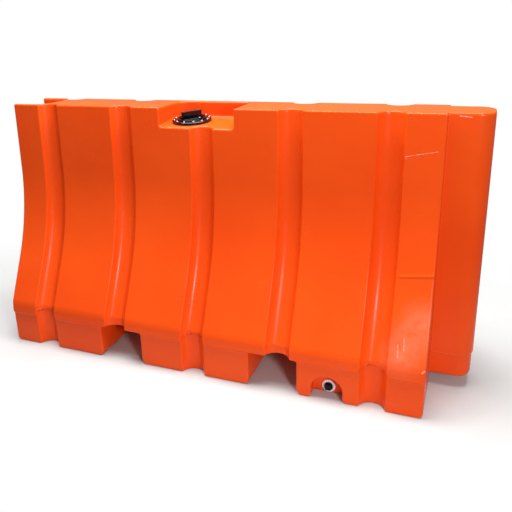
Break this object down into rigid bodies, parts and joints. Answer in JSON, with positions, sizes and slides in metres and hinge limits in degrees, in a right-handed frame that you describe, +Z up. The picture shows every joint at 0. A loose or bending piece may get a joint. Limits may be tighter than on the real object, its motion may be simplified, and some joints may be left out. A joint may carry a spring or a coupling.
{
  "type": "traffic barrier",
  "caption": "Hollow moulded water-filled road barrier with fluted sides, fork openings, end knuckle and socket, a turn-to-open fill cap and a screw-out drain plug.",
  "frame": {"origin": "centre of the overall box, on the ground plane", "axes": "+X along the barrier towards its knuckle, -Y towards the face with the drain, +Z up"},
  "size_m": [1.981, 0.632, 1.067],
  "materials": {
    "moulded_orange": "rotationally moulded polyethylene, satin, slightly wavy",
    "black_gloss": "injection-moulded glass-filled nylon, glossy",
    "black_moulded": "injection-moulded black plastic, fine moulded grain",
    "natural_white": "natural unpigmented polyethylene, slightly translucent",
    "stainless": "plain turned stainless steel",
    "brass": "turned brass",
    "black_rubber": "moulded black rubber"
  },
  "bodies": {
    "barrier": {"barrier_shell": "moulded_orange", "fill_port_gasket": "black_rubber", "fill_port_ring": "black_gloss", "fill_port_screws": "stainless", "fill_port_inserts": "brass", "drain_bush": "natural_white"},
    "cap_seal": {"fill_cap_seal": "black_rubber"},
    "cap": {"fill_cap": "black_gloss", "fill_cap_handle": "black_gloss", "handle_screws": "stainless"},
    "plug_washer": {"drain_washer": "black_rubber"},
    "plug": {"drain_plug": "black_moulded"}
  },
  "joints": [
    {"name": "fill_cap_lift", "type": "slide", "parent": "barrier", "child": "cap_seal", "axis": [0, -0.0698, 0.9976], "range_m": [0, 0.12]},
    {"name": "fill_cap_turn", "type": "hinge", "parent": "cap_seal", "child": "cap", "pos_m": [-0.1655, -0.002, 0.9965], "axis": [0, -0.0698, 0.9976], "range_deg": [0, 90]},
    {"name": "drain_plug_out", "type": "slide", "parent": "barrier", "child": "plug_washer", "axis": [0, -1, 0], "range_m": [0, 0.0218]},
    {"name": "drain_plug_turn", "type": "hinge", "parent": "plug_washer", "child": "plug", "pos_m": [0.484, -0.262, 0.036], "axis": [0, -1, 0], "range_deg": [0, 4320]}
  ],
  "couplings": [
    {"joint": "drain_plug_out", "follows": "drain_plug_turn", "m_per_rad": 0.00028871}
  ]
}
